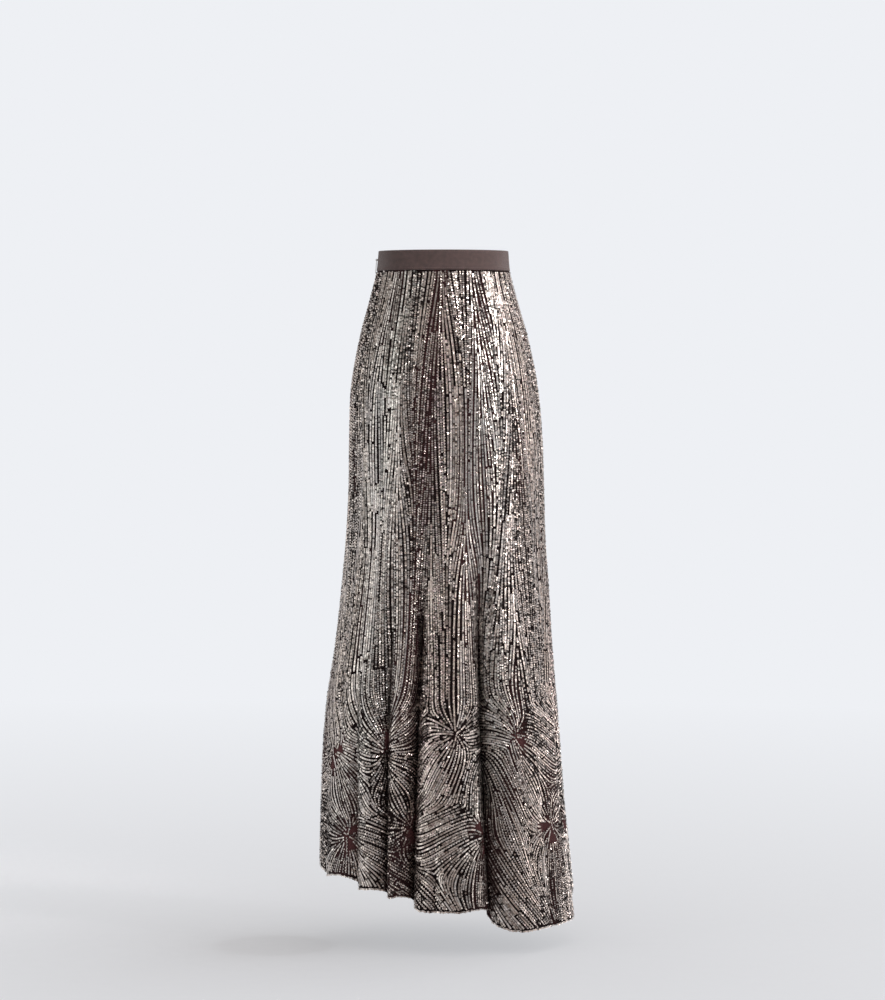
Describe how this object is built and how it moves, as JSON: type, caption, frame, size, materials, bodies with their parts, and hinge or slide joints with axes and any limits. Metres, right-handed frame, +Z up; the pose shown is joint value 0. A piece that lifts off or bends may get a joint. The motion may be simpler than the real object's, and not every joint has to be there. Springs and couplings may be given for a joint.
{
  "type": "sequin maxi skirt",
  "caption": "Floor-length flared skirt of sequinned gores on a waistband, hollow and open at waist and hem as when worn, with a concealed side zip.",
  "frame": {"origin": "centre of the waist, level with the waistband's top edge, where the wearer's waist holds the skirt", "axes": "+Z up, the front of the skirt faces -Y, the wearer's left and the zip are at +X"},
  "size_m": [0.4584, 0.4262, 1.195],
  "materials": {
    "sequin_cloth": "mauve-brown mesh covered with rows of silver-grey sequins, glittering",
    "band_cloth": "plain matt mauve-brown cloth",
    "zip_tape": "woven tape and nylon coil, matt",
    "zip_metal": "satin nickel"
  },
  "bodies": {
    "skirt": {"waistband": "band_cloth", "gore_side_back_left": "sequin_cloth", "gore_centre_back": "sequin_cloth", "gore_side_back_right": "sequin_cloth", "gore_side_front_right": "sequin_cloth", "gore_centre_front": "sequin_cloth", "gore_side_front_left": "sequin_cloth", "zip_tape_back": "zip_tape", "zip_tape_front": "zip_tape", "zip_coil": "zip_tape", "zip_stop": "zip_metal", "zip_slider": "zip_metal", "waist_hook": "zip_metal", "waist_eye": "zip_metal"},
    "pull": {"zip_pull": "zip_metal"}
  },
  "joints": [
    {"name": "pull_swing", "type": "hinge", "parent": "skirt", "child": "pull", "pos_m": [0.12066, 0.00612, -0.01578], "axis": [0.098, -0.9952, -0.0008], "range_deg": [0, 165]}
  ]
}
